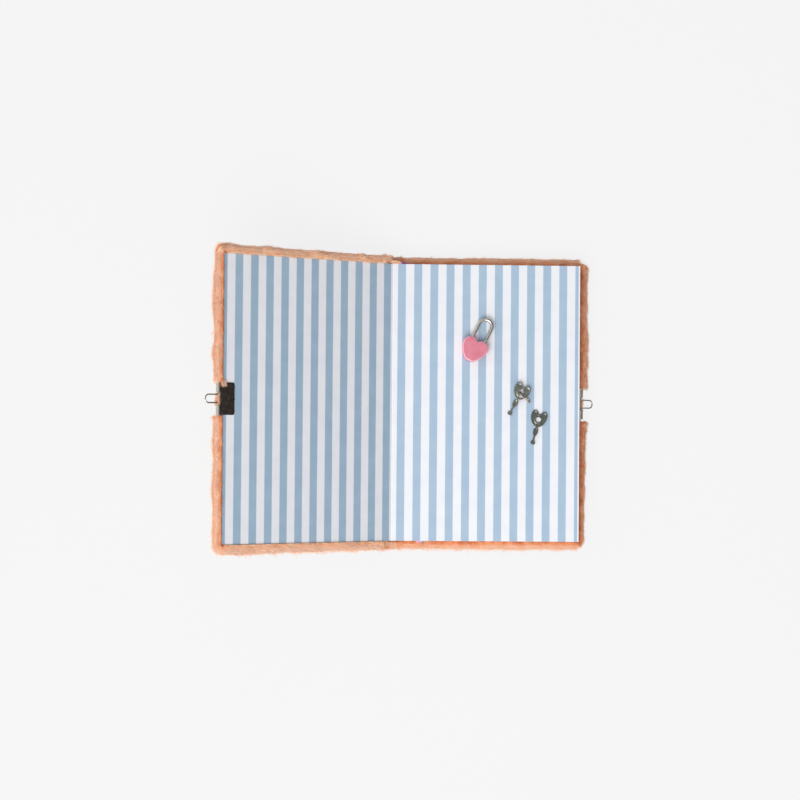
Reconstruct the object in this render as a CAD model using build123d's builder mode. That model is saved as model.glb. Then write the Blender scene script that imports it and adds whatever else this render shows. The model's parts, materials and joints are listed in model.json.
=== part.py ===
from build123d import *
import os
from math import asin, atan2, cos, degrees, radians, sin, sqrt

# A plush-covered diary lying open, with clasp loops, a heart padlock and two keys.
# Millimetres. +X runs from the gutter to the fore edge of the back cover, +Y to the
# head of the pages and +Z up. The origin is the middle of the flat underside.

# Leaves
page_width = 139.5
page_height = 206.0
block_thickness = 12.0
signature_count = 8
fold_radius = 0.5
paper_thickness = 0.2
lining_thickness = 0.5
lining_margin = 8.0
ribbon_width = 6.4
ribbon_thickness = 0.25
ribbon_head_x = 8.5
ribbon_tail_x = 21.3
ribbon_head_show = 2.4
ribbon_tail_show = 1.4

# Case
board_thickness = 2.5
board_corner = 2.0
fore_overhang = 2.5
head_overhang = 3.0
joint_gap = 6.0
hinge_setback = 0.6
pastedown_start = 0.3
pastedown_inset = 4.2
spine_board_thickness = 1.5
spine_hollow = 0.5
spine_board_inset = 1.0
cover_elevation = 30.0

# Plush covering
plush_depth = 4.0
plush_edge = 4.4
plush_lip = 1.5
plush_turn_in = 2.0
plush_corner = 8.0
plush_lip_round = 1.4
plush_outer_round = 3.0
plush_joint_reach = 0.4
plush_joint_dip = 0.4
spine_plush_depth = 3.0
spine_plush_round = 2.0
spine_plush_top_gap = 0.9
spine_plush_foot = 1.2

# Clasp plates and loops
clasp_sheet = 0.5
clasp_height = 23.0
clasp_depth = 11.4
clasp_nose = 0.3
clasp_corner = 1.5
clasp_window = 9.6
clasp_window_inset = 0.3
clasp_clearance = 0.3
tab_count = 3
tab_spacing = 9.0
tab_width = 1.3
tab_length = 0.8
loop_wire = 1.1
loop_width = 7.0
loop_reach = 10.4
loop_end_flat = 0.4
loop_foot_radius = 0.9
loop_foot_length = 5.6
loop_axis_gap = 0.2
table_gap = 0.2

# Padlock, in its own directions: across, along the shackle, and out of the page
lock_across = 61.2
lock_up = 42.1
lock_turn = 26.2
heart_width = 19.8
heart_height = 17.6
heart_lobe = 5.45
heart_tip = 4.8
heart_side = 17.0
heart_notch_round = 1.0
heart_tip_round = 1.2
lock_thickness = 7.0
lock_face_round = 1.3
lock_back_round = 0.5
shackle_wire = 2.7
shackle_spacing = 10.0
shackle_rise = 17.4
shackle_travel = 5.0
shackle_clear = 0.3
long_leg_depth = 3.7
leg_head = 0.9
leg_neck_depth = 0.3
leg_fit = 0.1
notch_above_end = 1.2
notch_height = 2.0
notch_depth = 0.95
follower_length = 1.0
spring_room = 7.0
spring_wire = 0.35
spring_turns = 4
rivet_radius = 0.6
rivet_seat = 2.3
plug_radius = 2.0
plug_length = 6.6
collar_radius = 2.5
collar_width = 0.8
collar_depth = 4.6
keyway_width = 3.6
keyway_height = 1.8
keyway_depth = 5.0
crank_radius = 0.45
crank_throw = 0.7
crank_length = 1.3
latch_thickness = 2.0
latch_tail = 2.4
latch_nose = 1.5
latch_fit = 0.12
latch_leg_gap = 0.3

# Keys
key_thickness = 1.4
bow_width = 11.5
bow_height = 12.3
bow_lobe = 2.3
bow_notch_drop = 0.7
bow_tip = 1.6
bow_side = 9.0
bow_notch_round = 0.3
bow_tip_round = 0.4
bow_hole = 4.0
bow_hole_drop = 4.3
leaf_width = 3.6
leaf_length = 8.2
leaf_overlap = 0.8
stem_width = 1.2
bit_width = 3.2
bit_length = 2.4
bit_round = 0.6
key_rim = 0.9
key_sunk = 0.25
leaf_groove = 1.2
key_length = 25.3
first_key_across = 95.4
first_key_up = 7.9
first_key_turn = 27.5
second_key_across = 108.7
second_key_up = -12.3
second_key_turn = 13.5

# Wire link in the bow of the first key
link_wire = 0.9
link_length = 11.6
link_width = 5.0
link_split = 0.3
link_turn = 14.2
link_lean = 20.0
link_offset = 4.3
link_fit = 0.1
bow_lift = 1.3

# Heights of the stack, from the table up. The block lies on the clasp plate's inner leg.
back_hinge_z = plush_depth + board_thickness + paper_thickness
back_flyleaf_z = back_hinge_z + clasp_sheet
block_bottom_z = back_flyleaf_z + paper_thickness
block_top_z = block_bottom_z + block_thickness
page_top_z = block_top_z + paper_thickness

# Reaches along a cover, measured from its hinge line
board_reach = hinge_setback + page_width + fore_overhang
board_height = page_height + 2 * head_overhang
plush_reach = board_reach + plush_edge
plush_height = board_height + 2 * plush_edge
board_face = -paper_thickness
board_back = board_face - board_thickness
plush_back = board_back - plush_depth
cover_middle = (plush_reach - plush_joint_reach) / 2
hinge_x = -cover_middle
gutter_x = hinge_x + hinge_setback

# A cover's plane starts on its hinge line, runs out along the cover and faces the pages.
lean = radians(cover_elevation)
back_plane = Plane(origin=(hinge_x, 0, back_hinge_z), x_dir=(1, 0, 0), z_dir=(0, 0, 1))
front_plane = Plane(
    origin=(hinge_x, 0, page_top_z),
    x_dir=(-cos(lean), 0, sin(lean)),
    z_dir=(sin(lean), 0, cos(lean)),
)

os.makedirs("parts", exist_ok=True)


def keep(part, name):
    """Label a finished piece and write it."""
    part.label = name
    export_step(part, f"parts/{name}.step")


def page_plane(across, up, turn):
    """A plane on the open page, its Y turned clockwise from the head of the page."""
    angle = radians(turn)
    return Plane(
        origin=(gutter_x + across, up, page_top_z),
        x_dir=(cos(angle), -sin(angle), 0),
        z_dir=(0, 0, 1),
    )


def tipped(plane, about_x, about_z=0):
    """The plane turned about its own axes."""
    return Plane(plane.location * Rotation(about_x, 0, about_z))


def section_of(plane):
    """The plane's cross-section: its X stays, its Z becomes the sketch's Y."""
    return Plane(origin=plane.origin, x_dir=plane.x_dir, z_dir=-plane.y_dir)


def along_y(plane, across, start):
    """A plane whose normal is the given plane's Y, set at a place along it."""
    return Plane(
        origin=plane.from_local_coords(Vector(across, start, 0)),
        x_dir=plane.x_dir,
        z_dir=plane.y_dir,
    )


def heart_face(width, height, lobe_radius, tip_width, side_radius, notch_drop, notch_round, tip_round):
    """A flat heart whose lobe centres lie on the X axis, with a blunt tip below.

    Lobes that meet make the notch themselves. Lobes set apart are joined by straight
    sides, which touch them and meet below the X axis by the notch drop.
    """
    lobe = Vector(width / 2 - lobe_radius, 0)
    tip = Vector(tip_width / 2, lobe_radius - height)
    apart = lobe.X > lobe_radius
    notch = Vector(0, -notch_drop if apart else sqrt(lobe_radius**2 - lobe.X**2))
    lean_in = lobe - notch
    rise = atan2(lean_in.Y, lean_in.X) + asin(min(1, lobe_radius / lean_in.length))
    inner = lobe + Vector(-sin(rise), cos(rise)) * lobe_radius if apart else notch
    span = tip - lobe
    reach = side_radius - lobe_radius
    along = (reach**2 - side_radius**2 + span.length**2) / (2 * span.length)
    ahead = span.normalized()
    inward = Vector(ahead.Y, -ahead.X)
    centre = lobe + ahead * along + inward * sqrt(reach**2 - along**2)
    touch = lobe + (lobe - centre).normalized() * lobe_radius
    lobe_top = lobe + Vector(0, lobe_radius)
    halfway = ((touch - centre) + (tip - centre)).normalized()
    with BuildSketch() as heart:
        with BuildLine():
            if apart:
                Line(notch, inner)
            ThreePointArc(inner, lobe_top, touch)
            ThreePointArc(touch, centre + halfway * side_radius, tip)
            mirror(about=Plane.YZ)
            Line(tip, (-tip.X, tip.Y))
        make_face()
        fillet(heart.vertices().sort_by_distance(notch)[0], notch_round)
        fillet(heart.vertices().sort_by(Axis.Y)[:2], tip_round)
    return heart.sketch


# The two covers are alike: a board wrapped in plush, its striped paper and its clasp.


def cover_board(cover):
    """Greyboard panel, clear of the hinge by the joint gap."""
    with BuildPart() as board:
        with BuildSketch(cover.offset(board_back)):
            with Locations(((joint_gap + board_reach) / 2, 0)):
                RectangleRounded(board_reach - joint_gap, board_height, board_corner)
        extrude(amount=board_thickness)
    return board.part


def cover_plush(cover, inner_end):
    """Pile fabric over the outside and the three free edges, turned in over the board."""
    outward = Axis(cover.origin, cover.x_dir)
    facing = Axis(cover.origin, cover.z_dir)
    with BuildPart() as plush:
        with BuildSketch(cover.offset(plush_back)) as outline:
            with Locations(((inner_end + plush_reach) / 2, 0)):
                Rectangle(plush_reach - inner_end, plush_height)
            fillet(outline.vertices().sort_by(Axis.X)[-2:], plush_corner)
        extrude(amount=plush_depth + board_thickness + plush_lip)
        rim = plush.faces().sort_by(facing)
        fillet(rim[-1].edges().sort_by(outward)[1:], plush_lip_round)
        fillet(rim[0].edges().sort_by(outward)[1:], plush_outer_round)
        with BuildSketch(cover.offset(board_back)):
            with Locations(((joint_gap + board_reach) / 2, 0)):
                RectangleRounded(board_reach - joint_gap, board_height, board_corner)
        extrude(amount=board_thickness, mode=Mode.SUBTRACT)
        with BuildSketch(cover.offset(board_face)):
            with Locations((inner_end, 0)):
                Rectangle(
                    board_reach - plush_turn_in - inner_end,
                    board_height - 2 * plush_turn_in,
                    align=(Align.MIN, Align.CENTER),
                )
        extrude(amount=plush_lip, mode=Mode.SUBTRACT)
        if inner_end < joint_gap:
            with BuildSketch(cover.offset(board_face - plush_joint_dip)):
                with Locations((inner_end, 0)):
                    Rectangle(joint_gap - inner_end, plush_height, align=(Align.MIN, Align.CENTER))
            extrude(amount=plush_joint_dip + plush_lip, mode=Mode.SUBTRACT)
        with BuildSketch(cover):
            with Locations((board_reach - clasp_depth - tab_length - clasp_clearance, 0)):
                Rectangle(
                    clasp_depth + tab_length + clasp_clearance + plush_edge,
                    clasp_height + 2 * clasp_clearance,
                    align=(Align.MIN, Align.CENTER),
                )
        extrude(amount=-plush_back, both=True, mode=Mode.SUBTRACT)
    return plush.part


def cover_pastedown(cover):
    """Striped endpaper pasted on the inside of the board, from the hinge line outwards."""
    end = board_reach - pastedown_inset
    with BuildPart() as pastedown:
        with BuildSketch(cover.offset(board_face)):
            with Locations(((pastedown_start + end) / 2, 0)):
                Rectangle(end - pastedown_start, page_height)
        extrude(amount=paper_thickness)
    return pastedown.part


clasp_inside = (paper_thickness + board_thickness) / 2
clasp_outside = clasp_inside + clasp_sheet
clasp_bend = board_reach + clasp_nose
loop_axis_reach = board_reach + loop_axis_gap + loop_wire / 2


def clasp_plate(cover):
    """Sheet metal folded over the fore edge, with a window for the loop and edge tabs."""
    outward = Axis(cover.origin, cover.x_dir)
    facing = Axis(cover.origin, cover.z_dir)
    leg = clasp_bend - board_reach + clasp_depth
    with BuildPart() as plate:
        with BuildSketch(section_of(cover)):
            with Locations((clasp_bend, -clasp_inside)):
                Circle(clasp_outside)
                Rectangle(leg, 2 * clasp_outside, align=(Align.MAX, Align.CENTER))
                Circle(clasp_inside, mode=Mode.SUBTRACT)
                Rectangle(leg, 2 * clasp_inside, align=(Align.MAX, Align.CENTER), mode=Mode.SUBTRACT)
        extrude(amount=clasp_height / 2, both=True)
        with BuildSketch(cover.offset(-clasp_inside)):
            with Locations((board_reach - clasp_window_inset, 0)):
                Rectangle(
                    clasp_window_inset + clasp_nose + 2 * clasp_outside,
                    clasp_window,
                    align=(Align.MIN, Align.CENTER),
                )
        extrude(amount=2 * clasp_outside, both=True, mode=Mode.SUBTRACT)
        fillet(plate.edges().filter_by(facing).sort_by(outward)[:4], clasp_corner)
        tab_root = board_reach - clasp_depth
        tab_places = [tab_spacing * (tab - (tab_count - 1) / 2) for tab in range(tab_count)]
        with BuildSketch(*[section_of(cover).offset(place) for place in tab_places]):
            with Locations((tab_root, 0)):
                Polygon((0, 0), (0, clasp_sheet), (-tab_length, 0), align=None)
        extrude(amount=tab_width / 2, both=True)
    return plate.part


def clasp_loop(plane):
    """Bent wire loop: two feet turn in the fold of the plate, two arms and a round end."""
    arm = (loop_width - loop_wire) / 2
    foot = arm + loop_foot_length
    far = loop_reach - loop_wire / 2
    corners = [(0, foot), (0, arm), (far, arm), (far, -arm), (0, -arm), (0, -foot)]
    end_radius = arm - loop_end_flat / 2
    radii = [loop_foot_radius, end_radius, end_radius, loop_foot_radius]
    with BuildPart() as loop:
        with BuildLine(plane) as path:
            FilletPolyline(*corners, radius=radii)
        with BuildSketch(Plane(path.wire() ^ 0)):
            Circle(loop_wire / 2)
        sweep(path=path.wire())
    return loop.part


loop_axis_z = back_hinge_z - clasp_inside
droop = asin((loop_axis_z - loop_wire / 2 - table_gap) / (loop_reach - loop_wire / 2))
back_loop_plane = Plane(
    origin=back_plane.from_local_coords(Vector(loop_axis_reach, 0, -clasp_inside)),
    x_dir=(cos(droop), 0, -sin(droop)),
    z_dir=(sin(droop), 0, cos(droop)),
)
front_loop_plane = Plane(
    origin=front_plane.from_local_coords(Vector(loop_axis_reach, 0, -clasp_inside)),
    x_dir=front_plane.x_dir,
    z_dir=front_plane.z_dir,
)

for side, cover, inner_end, loop_plane in (
    ("back", back_plane, -plush_joint_reach, back_loop_plane),
    ("front", front_plane, joint_gap, front_loop_plane),
):
    keep(cover_board(cover), f"{side}_board")
    keep(cover_plush(cover, inner_end), f"{side}_plush")
    keep(cover_pastedown(cover), f"{side}_pastedown")
    keep(clasp_plate(cover), f"{side}_clasp_plate")
    keep(clasp_loop(loop_plane), f"{side}_clasp_loop")

# The book block: folded signatures with the ribbon under the last one, and the two flyleaves.

signature_thickness = (block_thickness - ribbon_thickness) / signature_count

for number in range(signature_count):
    above_ribbon = ribbon_thickness if number == signature_count - 1 else 0
    with BuildPart() as signature:
        with BuildSketch(Plane.XY.offset(block_bottom_z + number * signature_thickness + above_ribbon)):
            with Locations((gutter_x, 0)):
                Rectangle(page_width, page_height, align=(Align.MIN, Align.CENTER))
        extrude(amount=signature_thickness)
        fillet(signature.edges().filter_by(Axis.Y).group_by(Axis.X)[0], fold_radius)
    keep(signature.part, f"signature_{number + 1}")

for name, level in (("back_flyleaf", back_flyleaf_z), ("front_flyleaf", block_top_z)):
    with BuildPart() as flyleaf:
        with BuildSketch(Plane.XY.offset(level)):
            with Locations((gutter_x, 0)):
                Rectangle(page_width, page_height, align=(Align.MIN, Align.CENTER))
        extrude(amount=paper_thickness)
    keep(flyleaf.part, name)

ribbon_z = block_top_z - signature_thickness - ribbon_thickness
ribbon_head = Vector(gutter_x + ribbon_head_x, page_height / 2 + ribbon_head_show)
ribbon_tail = Vector(gutter_x + ribbon_tail_x, -page_height / 2 - ribbon_tail_show)
ribbon_run = ribbon_tail - ribbon_head
with BuildPart() as ribbon_marker:
    with BuildSketch(Plane((ribbon_head.X, ribbon_head.Y, ribbon_z), x_dir=ribbon_run)):
        Rectangle(ribbon_run.length, ribbon_width, align=(Align.MIN, Align.CENTER))
    extrude(amount=ribbon_thickness)
keep(ribbon_marker.part, "ribbon_marker")

# The spine: a cloth lining on the folds, a hollow, a narrow board and its plush.

with BuildPart() as spine_lining:
    with BuildSketch(Plane.XY.offset(block_bottom_z + fold_radius)):
        with Locations((gutter_x, 0)):
            Rectangle(
                lining_thickness,
                page_height - 2 * lining_margin,
                align=(Align.MAX, Align.CENTER),
            )
    extrude(amount=block_thickness - 2 * fold_radius)
keep(spine_lining.part, "spine_lining")

spine_board_x = gutter_x - lining_thickness - spine_hollow
with BuildPart() as spine_board:
    with BuildSketch(Plane.XY.offset(back_hinge_z + spine_board_inset)):
        with Locations((spine_board_x, 0)):
            Rectangle(spine_board_thickness, board_height, align=(Align.MAX, Align.CENTER))
    extrude(amount=page_top_z - back_hinge_z - 2 * spine_board_inset)
keep(spine_board.part, "spine_board")

with BuildPart() as spine_plush:
    with BuildSketch(Plane.XY.offset(back_hinge_z - spine_plush_foot)):
        with Locations((spine_board_x - spine_board_thickness, 0)):
            Rectangle(spine_plush_depth, plush_height, align=(Align.MAX, Align.CENTER))
    extrude(amount=page_top_z - spine_plush_top_gap - back_hinge_z + spine_plush_foot)
    outer_face = spine_plush.faces().sort_by(Axis.X)[0]
    fillet(outer_face.edges(), spine_plush_round)
keep(spine_plush.part, "spine_plush")

# The padlock. Its halves meet on the middle plane, which carries the shackle's legs.

lock_plane = page_plane(lock_across, lock_up, lock_turn)
lock_middle = lock_plane.offset(lock_thickness / 2)
heart_bottom = heart_lobe - heart_height
leg_x = shackle_spacing / 2
leg_radius = shackle_wire / 2
short_end = heart_lobe + shackle_clear
long_end = heart_lobe - long_leg_depth
bore_bottom = long_end - follower_length - spring_room
neck_start = long_end + leg_head
neck_radius = leg_radius - leg_neck_depth
stop_y = neck_start + rivet_radius + leg_fit
stop_x = -leg_x + neck_radius + rivet_radius + leg_fit / 2
neck_end = stop_y + rivet_radius + shackle_travel + leg_fit
plug_top = heart_bottom + plug_length
crank_x = -crank_throw * sin(radians(45))
crank_z = crank_throw * cos(radians(45))
latch_travel = 2 * crank_throw * sin(radians(45))
latch_bottom = plug_top + latch_fit
notch_bottom = short_end - shackle_travel + notch_above_end
nose_y = notch_bottom + notch_height / 2
nose_end = leg_x - leg_radius - latch_leg_gap
latch_top = nose_y + latch_nose / 2
rivet_places = [
    (stop_x, stop_y),
    (leg_x + leg_radius + leg_fit + 2 * rivet_radius, -rivet_radius),
    (-leg_x - leg_radius - leg_fit - 2 * rivet_radius, -rivet_radius),
    (plug_radius + 2 * rivet_radius, heart_bottom + plug_length - rivet_radius),
]

with BuildPart() as lock_hollows:
    for across, bottom in ((-leg_x, bore_bottom), (leg_x, short_end - shackle_travel - shackle_clear)):
        with BuildSketch(along_y(lock_middle, across, bottom)):
            Circle(leg_radius + leg_fit)
        extrude(amount=heart_lobe + shackle_clear - bottom)
    with BuildSketch(along_y(lock_middle, 0, heart_bottom - leg_fit)):
        Circle(plug_radius + leg_fit)
    extrude(amount=plug_length + leg_fit + latch_fit)
    with BuildSketch(along_y(lock_middle, 0, heart_bottom + collar_depth - leg_fit)):
        Circle(collar_radius + leg_fit)
    extrude(amount=collar_width + 2 * leg_fit)
    with BuildSketch(along_y(lock_middle, 0, plug_top)):
        Circle(crank_throw + crank_radius + latch_fit)
    extrude(amount=crank_length + latch_fit)
    with BuildSketch(lock_middle):
        with Locations((-latch_tail / 2 + crank_x - latch_fit, latch_bottom - latch_fit)):
            Rectangle(
                latch_tail + latch_travel + 2 * latch_fit,
                latch_top - latch_bottom + 2 * latch_fit,
                align=(Align.MIN, Align.MIN),
            )
        with Locations((0, nose_y)):
            Rectangle(leg_x, latch_nose + 2 * latch_fit, align=(Align.MIN, Align.CENTER))
    extrude(amount=latch_thickness / 2 + latch_fit, both=True)

with BuildPart() as padlock_rivets:
    with BuildSketch(lock_plane):
        with Locations(*rivet_places):
            Circle(rivet_radius)
    extrude(amount=lock_thickness / 2 + rivet_seat)

lock_heart = heart_face(
    heart_width, heart_height, heart_lobe, heart_tip, heart_side, 0, heart_notch_round, heart_tip_round
)
with BuildPart() as padlock_back:
    with BuildSketch(lock_plane):
        add(lock_heart)
    extrude(amount=lock_thickness / 2)
    fillet(padlock_back.faces().sort_by(Axis.Z)[0].edges(), lock_back_round)
    add(lock_hollows.part, mode=Mode.SUBTRACT)
    add(padlock_rivets.part, mode=Mode.SUBTRACT)
keep(padlock_back.part, "padlock_back")

with BuildPart() as padlock_front:
    with BuildSketch(lock_middle):
        add(lock_heart)
    extrude(amount=lock_thickness / 2)
    fillet(padlock_front.faces().sort_by(Axis.Z)[-1].edges(), lock_face_round)
    add(lock_hollows.part, mode=Mode.SUBTRACT)
    add(padlock_rivets.part, mode=Mode.SUBTRACT)
keep(padlock_front.part, "padlock_front")
keep(padlock_rivets.part, "padlock_rivets")

arch_y = heart_lobe + shackle_rise - leg_radius - leg_x
with BuildPart() as shackle:
    with BuildLine(lock_middle) as bow_line:
        Line((leg_x, short_end), (leg_x, arch_y))
        ThreePointArc((leg_x, arch_y), (0, arch_y + leg_x), (-leg_x, arch_y))
        Line((-leg_x, arch_y), (-leg_x, long_end))
    with BuildSketch(along_y(lock_middle, leg_x, short_end)):
        Circle(leg_radius)
    sweep(path=bow_line.wire())
    with BuildSketch(along_y(lock_middle, -leg_x, neck_start)):
        Circle(leg_radius)
        Circle(neck_radius, mode=Mode.SUBTRACT)
    extrude(amount=neck_end - neck_start, mode=Mode.SUBTRACT)
    with BuildSketch(lock_middle):
        with Locations((leg_x - leg_radius, short_end + notch_above_end)):
            Rectangle(notch_depth, notch_height, align=(Align.MIN, Align.MIN))
    extrude(amount=leg_radius, both=True, mode=Mode.SUBTRACT)
keep(shackle.part, "padlock_shackle")

with BuildPart() as shackle_follower:
    with BuildSketch(along_y(lock_middle, -leg_x, long_end - follower_length)):
        Circle(leg_radius)
    extrude(amount=follower_length)
keep(shackle_follower.part, "shackle_follower")

# The shackle spring is one wire wound from quarter-turn arcs, its ends against seat and follower.
spring_radius = leg_radius - spring_wire / 2
spring_plane = along_y(lock_middle, -leg_x, bore_bottom + spring_wire / 2)
quarter_rise = (spring_room - spring_wire) / (4 * spring_turns)


def spring_point(quarter):
    """A point on the coil's middle line, counted in quarter turns from the seat."""
    angle = radians(90 * quarter)
    return (spring_radius * cos(angle), spring_radius * sin(angle), quarter * quarter_rise)


with BuildPart() as shackle_spring:
    with BuildLine(spring_plane) as coil:
        for quarter in range(4 * spring_turns):
            ThreePointArc(spring_point(quarter), spring_point(quarter + 0.5), spring_point(quarter + 1))
    with BuildSketch(Plane(coil.wire() ^ 0)):
        Circle(spring_wire / 2)
    sweep(path=coil.wire())
keep(shackle_spring.part, "shackle_spring")

with BuildPart() as padlock_plug:
    with BuildSketch(along_y(lock_middle, 0, heart_bottom)):
        Circle(plug_radius)
    extrude(amount=plug_length)
    with BuildSketch(along_y(lock_middle, 0, heart_bottom + collar_depth)):
        Circle(collar_radius)
    extrude(amount=collar_width)
    with BuildSketch(along_y(lock_middle, 0, plug_top)):
        with Locations((crank_x, -crank_z)):
            Circle(crank_radius)
    extrude(amount=crank_length)
    with BuildSketch(along_y(lock_middle, 0, heart_bottom)):
        SlotOverall(keyway_width, keyway_height)
    extrude(amount=keyway_depth, mode=Mode.SUBTRACT)
keep(padlock_plug.part, "padlock_plug")

with BuildPart() as padlock_latch:
    with BuildSketch(lock_middle):
        with Locations((crank_x, latch_bottom)):
            Rectangle(latch_tail, latch_top - latch_bottom, align=(Align.CENTER, Align.MIN))
        with Locations((crank_x, nose_y)):
            Rectangle(nose_end - crank_x, latch_nose, align=(Align.MIN, Align.CENTER))
    extrude(amount=latch_thickness / 2, both=True)
    with BuildSketch(lock_middle):
        with Locations((crank_x, latch_bottom)):
            Rectangle(
                2 * (crank_radius + latch_fit),
                crank_length,
                align=(Align.CENTER, Align.MIN),
            )
    extrude(amount=latch_thickness, both=True, mode=Mode.SUBTRACT)
keep(padlock_latch.part, "padlock_latch")

# The keys: a heart bow sunk inside its rim, a grooved leaf-shaped shank and a small bit.

bow_top = bow_hole_drop + bow_lobe
bow_bottom = bow_top - bow_height
key_end = bow_top - key_length
leaf_top = bow_bottom + leaf_overlap
leaf_bottom = leaf_top - leaf_length
leaf_middle = (leaf_top + leaf_bottom) / 2
bow_heart = heart_face(
    bow_width, bow_height, bow_lobe, bow_tip, bow_side, bow_notch_drop, bow_notch_round, bow_tip_round
)
bow_sunk = offset(bow_heart, amount=-key_rim)


def flat_key(plane):
    """A key lying on the plane, its bow hole over the origin and its bit towards -Y."""
    with BuildPart() as key:
        with BuildSketch(plane):
            with Locations((0, bow_hole_drop)):
                add(bow_heart)
            with BuildLine():
                ThreePointArc((0, leaf_top), (leaf_width / 2, leaf_middle), (0, leaf_bottom))
                ThreePointArc((0, leaf_bottom), (-leaf_width / 2, leaf_middle), (0, leaf_top))
            make_face()
            with Locations((0, key_end)):
                Rectangle(stem_width, leaf_top - key_end, align=(Align.CENTER, Align.MIN))
            with Locations((0, key_end + bit_length / 2)):
                RectangleRounded(bit_width, bit_length, bit_round)
            Circle(bow_hole / 2, mode=Mode.SUBTRACT)
        extrude(amount=key_thickness)
        with BuildSketch(plane.offset(key_thickness)):
            with Locations((0, bow_hole_drop)):
                add(bow_sunk)
            Circle(bow_hole / 2 + key_rim, mode=Mode.SUBTRACT)
            with Locations((0, leaf_middle)):
                Ellipse(leaf_groove / 2, leaf_length / 4)
        extrude(amount=-key_sunk, mode=Mode.SUBTRACT)
    return key.part


second_key_plane = page_plane(second_key_across, second_key_up, second_key_turn)
keep(flat_key(second_key_plane), "second_key")

# The first key leans on the link under its bow, its bit on the page.
first_key_flat = page_plane(first_key_across, first_key_up, first_key_turn)
key_tilt = degrees(asin(bow_lift / -key_end))
first_key_plane = tipped(first_key_flat.offset(bow_lift), key_tilt)
keep(flat_key(first_key_plane), "first_key")

# The link's plane stands on its lower side, which runs under the bow.
link_run = link_length - link_wire
link_round = (link_width - link_wire) / 2
link_plane = tipped(first_key_plane.offset(-link_wire / 2 - link_fit), 0, -link_turn)
link_section = section_of(tipped(link_plane, link_lean))
with BuildPart() as key_link:
    with BuildLine(link_section) as link_line:
        left = link_offset - link_run / 2 + link_round
        right = link_offset + link_run / 2 - link_round
        top = 2 * link_round
        Line((link_offset + link_split / 2, top), (right, top))
        ThreePointArc((right, top), (right + link_round, link_round), (right, 0))
        Line((right, 0), (left, 0))
        ThreePointArc((left, 0), (left - link_round, link_round), (left, top))
        Line((left, top), (link_offset - link_split / 2, top))
    with BuildSketch(Plane(link_line.wire() ^ 0)):
        Circle(link_wire / 2)
    sweep(path=link_line.wire())
keep(key_link.part, "key_link")
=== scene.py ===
# %% [markdown]
# # A plush diary with its padlock
# The solids already stand in their real places and sizes. This lesson dresses them: peach pile
# fabric on the covers, striped endpaper, leaf edges, nickel and pink enamel.

# %% Load the solids
import json
from itertools import count
from math import cos, pi, radians, sin

import bmesh
import bpy
from mathutils import Matrix, Vector, noise


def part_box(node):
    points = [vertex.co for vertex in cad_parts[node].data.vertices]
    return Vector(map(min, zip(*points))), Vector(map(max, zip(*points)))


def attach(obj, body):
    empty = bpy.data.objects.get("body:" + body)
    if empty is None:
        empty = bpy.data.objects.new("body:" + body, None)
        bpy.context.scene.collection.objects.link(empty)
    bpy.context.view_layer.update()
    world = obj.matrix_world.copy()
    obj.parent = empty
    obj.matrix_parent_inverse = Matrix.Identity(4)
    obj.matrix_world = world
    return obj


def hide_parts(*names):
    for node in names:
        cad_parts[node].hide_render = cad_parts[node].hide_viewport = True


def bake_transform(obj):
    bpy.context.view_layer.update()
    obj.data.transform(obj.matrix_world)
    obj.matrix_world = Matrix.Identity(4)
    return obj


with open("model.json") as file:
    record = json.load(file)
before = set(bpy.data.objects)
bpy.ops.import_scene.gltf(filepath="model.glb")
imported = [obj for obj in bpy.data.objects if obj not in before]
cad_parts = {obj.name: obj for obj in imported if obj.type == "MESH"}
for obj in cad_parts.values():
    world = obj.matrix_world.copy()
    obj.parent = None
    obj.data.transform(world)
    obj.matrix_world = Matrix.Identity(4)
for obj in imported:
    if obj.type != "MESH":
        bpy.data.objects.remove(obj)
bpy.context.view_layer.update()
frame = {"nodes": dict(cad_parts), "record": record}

solids = frame["nodes"]
hinges = {joint["name"]: joint for joint in frame["record"]["behaviour"]["joints"]}
scene = bpy.context.scene
MM = 0.001

# %% [markdown]
# ## Small helpers
# Colours are written as they look on a screen, so one function turns them to the linear numbers
# that shaders use. One more adds a node, its settings and its links in a single line. The others
# build on it: a step of arithmetic, soft noise, a ramp of colours, a mix and a bump. With them a
# material reads from top to bottom.

# %% Helpers for nodes
def linear(code):
    """A hex colour as linear red, green, blue and alpha."""
    parts = [int(code[i:i + 2], 16) / 255 for i in (1, 3, 5)]
    return [p / 12.92 if p < 0.04045 else ((p + 0.055) / 1.055) ** 2.4 for p in parts] + [1.0]


def add_node(tree, kind, inputs=None, **settings):
    """A new node: settings first, then each input as a value or as a link from another output."""
    node = tree.nodes.new(kind)
    for name, value in settings.items():
        setattr(node, name, value)
    for socket, value in (inputs or {}).items():
        if isinstance(value, bpy.types.NodeSocket):
            tree.links.new(value, node.inputs[socket])
        else:
            node.inputs[socket].default_value = value
    return node


def new_finish(name, **values):
    """A material with one Principled shader whose plain values are set by socket name."""
    finish = bpy.data.materials.new(name)
    finish.use_nodes = True
    shader = finish.node_tree.nodes["Principled BSDF"]
    for socket, value in values.items():
        shader.inputs[socket.replace("_", " ")].default_value = value
    return finish, finish.node_tree, shader


print("white is", linear("#FFFFFF"))

# %% Helpers for patterns
# A wave texture repeats at this share of its scale.
WAVE_REPEAT = 0.314


def work_out(tree, operation, *values):
    """One step of arithmetic on numbers or outputs."""
    return add_node(tree, "ShaderNodeMath", dict(enumerate(values)), operation=operation).outputs[0]


def clouds(tree, size, detail=2.0):
    """Soft noise in blots of about this many millimetres."""
    place = add_node(tree, "ShaderNodeTexCoord")
    blots = add_node(tree, "ShaderNodeTexNoise",
                     {"Vector": place.outputs["Object"], "Scale": 1 / (size * MM), "Detail": detail})
    return blots.outputs["Fac"]


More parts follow.
